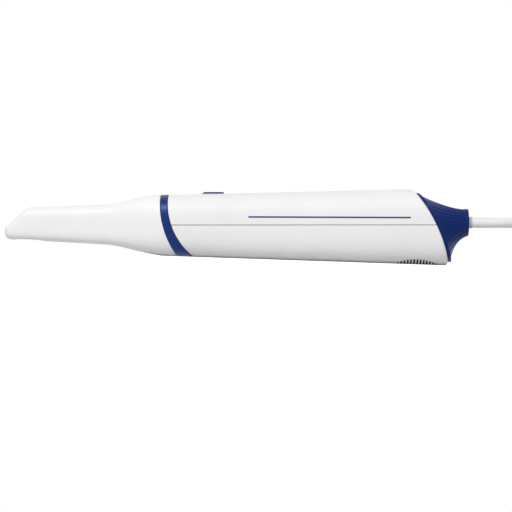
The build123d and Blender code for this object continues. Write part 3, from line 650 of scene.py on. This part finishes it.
def stripe_blank():
    """Flat strip that stands in front of the upper shell, along the line of the print."""
    run = stripe_end - stripe_start
    middle = (stripe_start + stripe_end) / 2.0
    middle.y = 2.0 * cad_box[0][1]
    slope = Matrix.Rotation(-run.angle(Vector((1.0, 0.0, 0.0))), 3, "Y")
    shape = bmesh.new()
    bmesh.ops.create_grid(shape, x_segments=stripe_segments, y_segments=stripe_rows, size=0.5)
    bmesh.ops.scale(shape, vec=(run.length, sizes().stripe_thickness, 1.0), verts=shape.verts)
    bmesh.ops.rotate(shape, matrix=slope @ Matrix.Rotation(radians(90.0), 3, "X"), verts=shape.verts)
    bmesh.ops.translate(shape, vec=middle, verts=shape.verts)
    return mesh_piece("stripe_print", shape)


def lay_on(piece, carrier, axis, lift):
    """Presses a flat blank onto its carrier along an axis, as far above the surface as the lift says."""
    wrap = piece.modifiers.new("lay", "SHRINKWRAP")
    wrap.target = carrier
    wrap.wrap_method = "PROJECT"
    wrap.wrap_mode = "ABOVE_SURFACE"
    setattr(wrap, "use_project_" + axis, True)
    wrap.offset = lift
    laid = piece.evaluated_get(bpy.context.evaluated_depsgraph_get())
    mesh = bpy.data.meshes.new_from_object(laid)
    piece.modifiers.clear()
    piece.data = mesh


class SCANNER_OT_stripe(bpy.types.Operator):
    """Prints the thin blue line on the side of the upper shell"""
    bl_idname = "scanner.stripe"
    bl_label = "Printed stripe"

    def execute(self, context):
        stripe = stripe_blank()
        lay_on(stripe, node_objects["upper_shell"], "y", print_depth)
        film = stripe.modifiers.new("film", "SOLIDIFY")
        film.thickness = print_depth
        ink = moulded_plastic(
            "print_blue", tuple(colours().print_blue),
            roughness=0.4, grain_size=0.0003, relief=0.000005, shine=0.25)
        wear(stripe, ink)
        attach(stripe, "handle")
        return {"FINISHED"}


# Seals, nose and optics

grommet_share = 1.4
window_tint = (0.22, 0.28, 0.34)
lens_tint = (0.9, 0.95, 1.0)
mirror_silver = (0.9, 0.91, 0.92)


class SCANNER_OT_seals(bpy.types.Operator):
    """Gives the button's gasket, the tip's seal and the cable's grommet their grey rubber"""
    bl_idname = "scanner.seals"
    bl_label = "Rubber seals"

    def execute(self, context):
        grey = tuple(colours().rubber_grey)
        rubber = moulded_plastic(
            "seal_grey", grey, roughness=0.62, grain_size=0.0004, relief=0.00003, shine=0.3)
        dress(rubber, "button_gasket", "tip_seal")
        grommet = moulded_plastic(
            "grommet_grey", shade(grey, grommet_share),
            roughness=0.55, grain_size=0.0004, relief=0.00003, shine=0.3)
        dress(grommet, "cable_grommet")
        return {"FINISHED"}


class SCANNER_OT_optics(bpy.types.Operator):
    """Dresses the nose barrel, its window, the lenses and the tip's mirror"""
    bl_idname = "scanner.optics"
    bl_label = "Nose and optics"

    def execute(self, context):
        black = moulded_plastic(
            "barrel_black", tuple(colours().inner_black),
            roughness=0.42, grain_size=0.0004, relief=0.00003, shine=0.35)
        dress(black, "nose_barrel", "camera_tube", "projector_tube")
        dress(optical_glass("window_glass", window_tint), "front_window")
        dress(optical_glass("lens_glass", lens_tint), "camera_lens", "projector_lens", "pattern_slide")
        dress(metal("mirror_silver", mirror_silver, roughness=0.07), "tip_mirror")
        return {"FINISHED"}


# Boards

board_upright = (0.0, radians(90.0), radians(90.0))
socket_share = 0.8
chassis_aluminium = (0.7, 0.71, 0.72)
chassis_draw = (0.06, 1.0, 1.0)
screw_steel = (0.5, 0.5, 0.51)


class SCANNER_OT_boards(bpy.types.Operator):
    """Dresses the chassis, the circuit boards and what sits on them"""
    bl_idname = "scanner.boards"
    bl_label = "Chassis and boards"

    def execute(self, context):
        mask = tuple(colours().board_green)
        black = tuple(colours().inner_black)
        dress(circuit_board("flat_board_green", mask), "main_board", "button_board")
        dress(circuit_board("upright_board_green", mask, board_upright), "camera_board", "light_board")
        chip = moulded_plastic(
            "chip_black", black, roughness=0.56, grain_size=0.00025, relief=0.00003, shine=0.4)
        dress(chip, "image_sensor", "processor", "memory_chips")
        socket = moulded_plastic(
            "socket_black", shade(black, socket_share), roughness=0.4, grain_size=0.0005, relief=0.00002)
        dress(socket, "cable_header", "cable_clamp", "switch_body", "switch_plunger")
        aluminium = metal("chassis_aluminium", chassis_aluminium, roughness=0.34, draw=chassis_draw)
        dress(aluminium, "chassis", "light_block")
        screws = metal("screw_steel", screw_steel, roughness=0.3)
        dress(screws, "bulkhead_screws", "chassis_screws", "board_screws", "fan_screws", "button_screws")
        return {"FINISHED"}


# Cooling

slot_count = 13
slot_pitch = 0.00164
slot_end_half_length = 0.0075
slot_middle_half_length = 0.0133
slat_reach = 0.95
# Black strips sunk in the slots: painted shade for the inside of the slots
shade_strip_width = 0.00098
shade_strip_recess = 0.0001
shade_strip_depth = 0.0016
shade_strip_segments = 40
cooler_aluminium = (0.62, 0.63, 0.64)
cooler_draw = (0.04, 1.0, 1.0)
pad_grey = (0.3, 0.32, 0.36)


def slot_places():
    """Middle and half length of each cooling slot: they swell towards the middle of the row."""
    spin = next(joint for joint in frame["joints"] if joint["name"] == "fan_spin")
    axis = Vector(spin["axis"])
    under_fan = Vector(spin["pos_m"])
    under_fan -= axis * (under_fan.z / axis.z)
    places = []
    for number in range(slot_count):
        off_middle = number - (slot_count - 1) / 2.0
        swell = (1.0 - (2.0 * off_middle / slot_count) ** 2) ** 0.5
        half_length = slot_end_half_length + (slot_middle_half_length - slot_end_half_length) * swell
        places.append((under_fan.x + off_middle * slot_pitch, half_length))
    return places


def shade_strip_blank():
    """Flat strips under the belly, one below each slot, as wide as the slats beside it reach; black, they
    paint the shade inside the slots.
    """
    shape = bmesh.new()
    for middle, half_length in slot_places():
        strip = bmesh.ops.create_grid(shape, x_segments=1, y_segments=shade_strip_segments, size=0.5)["verts"]
        bmesh.ops.scale(shape, vec=(slot_pitch * slat_reach, 2.0 * half_length, 1.0), verts=strip)
        bmesh.ops.translate(shape, vec=(middle, 0.0, -slot_pitch), verts=strip)
    bmesh.ops.reverse_faces(shape, faces=shape.faces)
    return mesh_piece("slot_painted_shade", shape)


def narrow_shade_strips(piece):
    """Draws each strip in from the slats to a tight fit in its slot."""
    middles = [middle for middle, half_length in slot_places()]
    share = shade_strip_width / (slot_pitch * slat_reach)
    for vertex in piece.data.vertices:
        middle = min(middles, key=lambda place: abs(place - vertex.co.x))
        vertex.co.x = middle + (vertex.co.x - middle) * share


class SCANNER_OT_cooling(bpy.types.Operator):
    """Dresses the cooler, the fan and the dust screen, and lays black strips of painted shade in the slots
    """
    bl_idname = "scanner.cooling"
    bl_label = "Cooling"

    def execute(self, context):
        black = tuple(colours().inner_black)
        # Painted shade: black strips laid just inside the slots
        shade_strips = shade_strip_blank()
        lay_on(shade_strips, node_objects["lower_shell"], "z", -shade_strip_recess)
        narrow_shade_strips(shade_strips)
        body = shade_strips.modifiers.new("body", "SOLIDIFY")
        body.thickness = shade_strip_depth
        wear(shade_strips, dust_mesh("slot_shade_black", black))
        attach(shade_strips, "handle")
        cooler = metal("cooler_aluminium", cooler_aluminium, roughness=0.4, draw=cooler_draw)
        dress(cooler, "heat_sink")
        pad = moulded_plastic(
            "pad_grey", pad_grey, roughness=0.8, grain_size=0.0003, relief=0.00004, shine=0.2)
        dress(pad, "thermal_pad")
        fan = moulded_plastic("fan_black", black, roughness=0.46, grain_size=0.0004, relief=0.00002)
        dress(fan, "fan_frame", "fan_rotor")
        dress(dust_mesh("screen_black", black), "vent_screen")
        return {"FINISHED"}


# Add-on

class SCANNER_PT_panel(bpy.types.Panel):
    """Lists the steps that dress the scanner."""
    bl_idname = "SCANNER_PT_panel"
    bl_label = "Intraoral scanner"
    bl_space_type = "VIEW_3D"
    bl_region_type = "UI"
    bl_category = "Scanner"

    def draw(self, context):
        for operator in operators:
            self.layout.operator(operator.bl_idname)


operators = (
    SCANNER_OT_stage,
    SCANNER_OT_cable,
    SCANNER_OT_shells,
    SCANNER_OT_trim,
    SCANNER_OT_stripe,
    SCANNER_OT_seals,
    SCANNER_OT_optics,
    SCANNER_OT_boards,
    SCANNER_OT_cooling,
)
groups = (ScannerSizes, ScannerColours)


def register():
    for kind in groups + operators + (SCANNER_PT_panel,):
        bpy.utils.register_class(kind)
    bpy.types.Scene.scanner_sizes = bpy.props.PointerProperty(type=ScannerSizes)
    bpy.types.Scene.scanner_colours = bpy.props.PointerProperty(type=ScannerColours)


def unregister():
    del bpy.types.Scene.scanner_colours
    del bpy.types.Scene.scanner_sizes
    for kind in reversed(groups + operators + (SCANNER_PT_panel,)):
        bpy.utils.unregister_class(kind)


def main():
    register()
    bpy.ops.scanner.stage()
    bpy.ops.scanner.cable()
    bpy.ops.scanner.shells()
    bpy.ops.scanner.trim()
    bpy.ops.scanner.stripe()
    bpy.ops.scanner.seals()
    bpy.ops.scanner.optics()
    bpy.ops.scanner.boards()
    bpy.ops.scanner.cooling()


if __name__ == "__main__":
    main()
